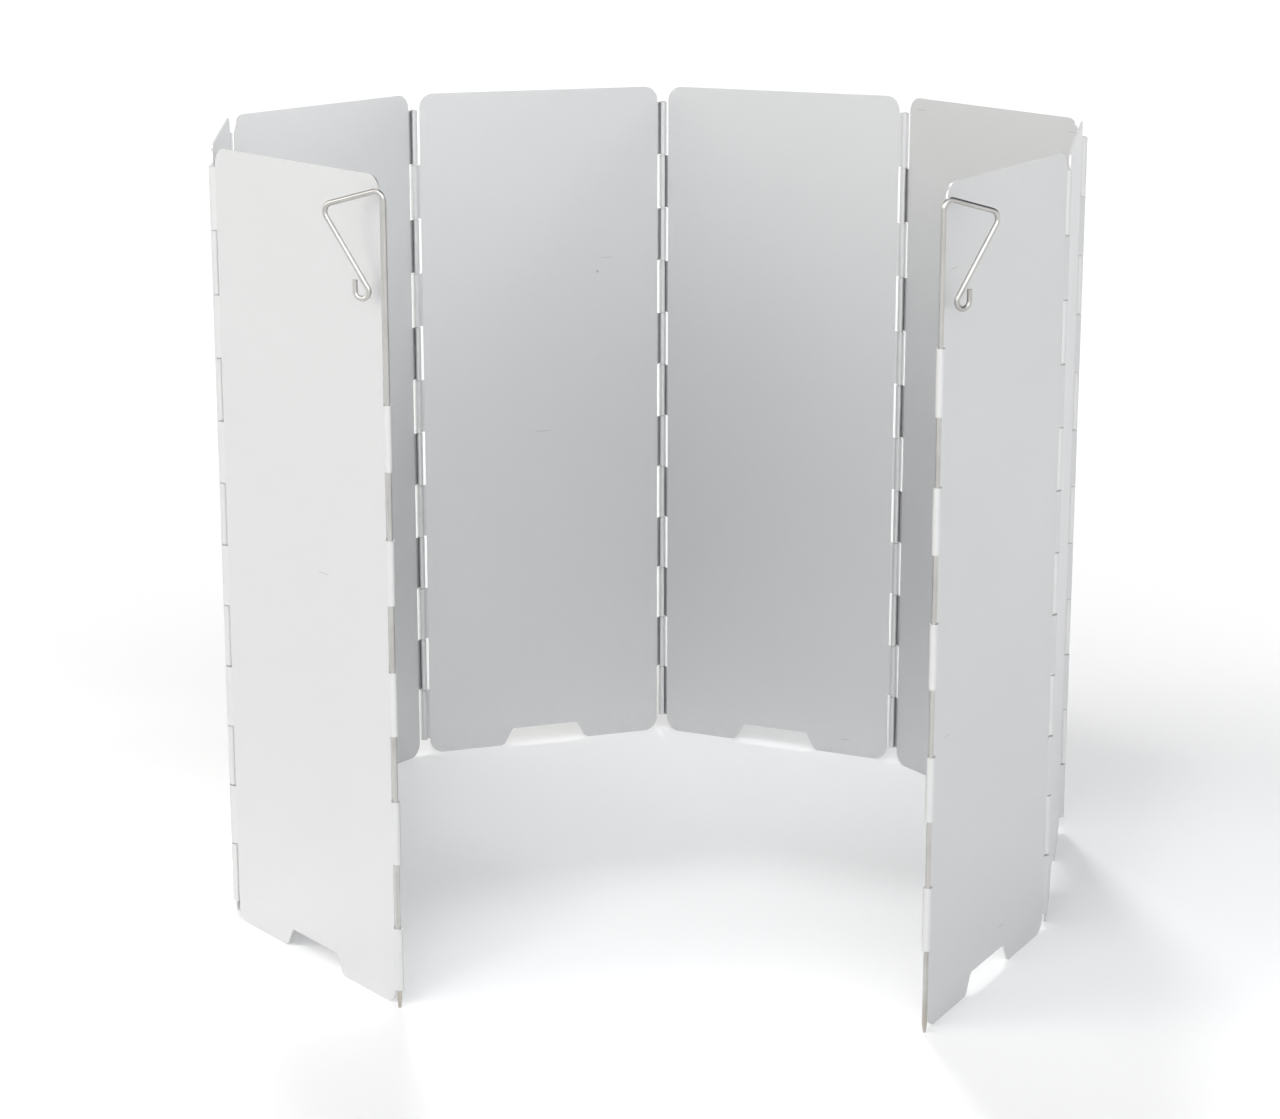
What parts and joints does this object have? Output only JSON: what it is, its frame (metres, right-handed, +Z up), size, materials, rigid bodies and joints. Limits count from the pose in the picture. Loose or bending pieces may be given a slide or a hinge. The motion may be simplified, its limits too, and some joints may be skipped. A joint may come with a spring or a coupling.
{
  "type": "folding stove windscreen",
  "caption": "Folding windscreen of pale metal panels on wire hinges, standing in a horseshoe around a stove, with a sliding ground stake in each free edge.",
  "frame": {"origin": "on the ground, under the middle of the box around the screen", "axes": "+Z up, +Y towards the closed back of the horseshoe, so the open front faces -Y"},
  "size_m": [0.2782, 0.2912, 0.24],
  "materials": {
    "sheet": "satin",
    "hinge_wire": "drawn",
    "stake": "drawn"
  },
  "bodies": {
    "panel_4": {"panel_4": "sheet", "hinge_wire_3": "hinge_wire", "hinge_wire_4": "hinge_wire"},
    "panel_1": {"panel_1": "sheet"},
    "panel_2": {"panel_2": "sheet", "hinge_wire_1": "hinge_wire"},
    "panel_3": {"panel_3": "sheet", "hinge_wire_2": "hinge_wire"},
    "panel_5": {"panel_5": "sheet", "hinge_wire_5": "hinge_wire"},
    "panel_6": {"panel_6": "sheet", "hinge_wire_6": "hinge_wire"},
    "panel_7": {"panel_7": "sheet", "hinge_wire_7": "hinge_wire"},
    "panel_8": {"panel_8": "sheet"},
    "stake_left": {"stake_left": "stake"},
    "stake_right": {"stake_right": "stake"}
  },
  "joints": [
    {"name": "hinge_4", "type": "hinge", "parent": "panel_4", "child": "panel_5", "pos_m": [-0.00201, 0.14426, 0.12], "axis": [0, 0, 1], "range_deg": [0, 224.7]},
    {"name": "hinge_3", "type": "hinge", "parent": "panel_4", "child": "panel_3", "pos_m": [-0.08743, 0.10747, 0.12], "axis": [0, 0, 1], "range_deg": [0, 144.2]},
    {"name": "hinge_2", "type": "hinge", "parent": "panel_3", "child": "panel_2", "pos_m": [-0.13781, 0.02929, 0.12], "axis": [0, 0, -1], "range_deg": [0, 218.7]},
    {"name": "hinge_5", "type": "hinge", "parent": "panel_5", "child": "panel_6", "pos_m": [0.08341, 0.10747, 0.12], "axis": [0, 0, -1], "range_deg": [0, 147.2]},
    {"name": "hinge_6", "type": "hinge", "parent": "panel_6", "child": "panel_7", "pos_m": [0.13781, 0.03204, 0.12], "axis": [0, 0, 1], "range_deg": [0, 221.7]},
    {"name": "hinge_1", "type": "hinge", "parent": "panel_2", "child": "panel_1", "pos_m": [-0.12519, -0.06285, 0.12], "axis": [0, 0, 1], "range_deg": [-33.5, 145.7]},
    {"name": "hinge_7", "type": "hinge", "parent": "panel_7", "child": "panel_8", "pos_m": [0.12519, -0.0601, 0.12], "axis": [0, 0, -1], "range_deg": [-18.5, 160.7]},
    {"name": "stake_left", "type": "slide", "parent": "panel_1", "child": "stake_left", "axis": [0, 0, 1], "range_m": [-0.055, 0.24]},
    {"name": "stake_right", "type": "slide", "parent": "panel_8", "child": "stake_right", "axis": [0, 0, 1], "range_m": [-0.036, 0.24]}
  ],
  "couplings": [
    {"joint": "hinge_3", "follows": "hinge_4", "ratio": 0.64174},
    {"joint": "hinge_2", "follows": "hinge_4", "ratio": 0.9733},
    {"joint": "hinge_5", "follows": "hinge_4", "ratio": 0.6551},
    {"joint": "hinge_6", "follows": "hinge_4", "ratio": 0.98665}
  ]
}
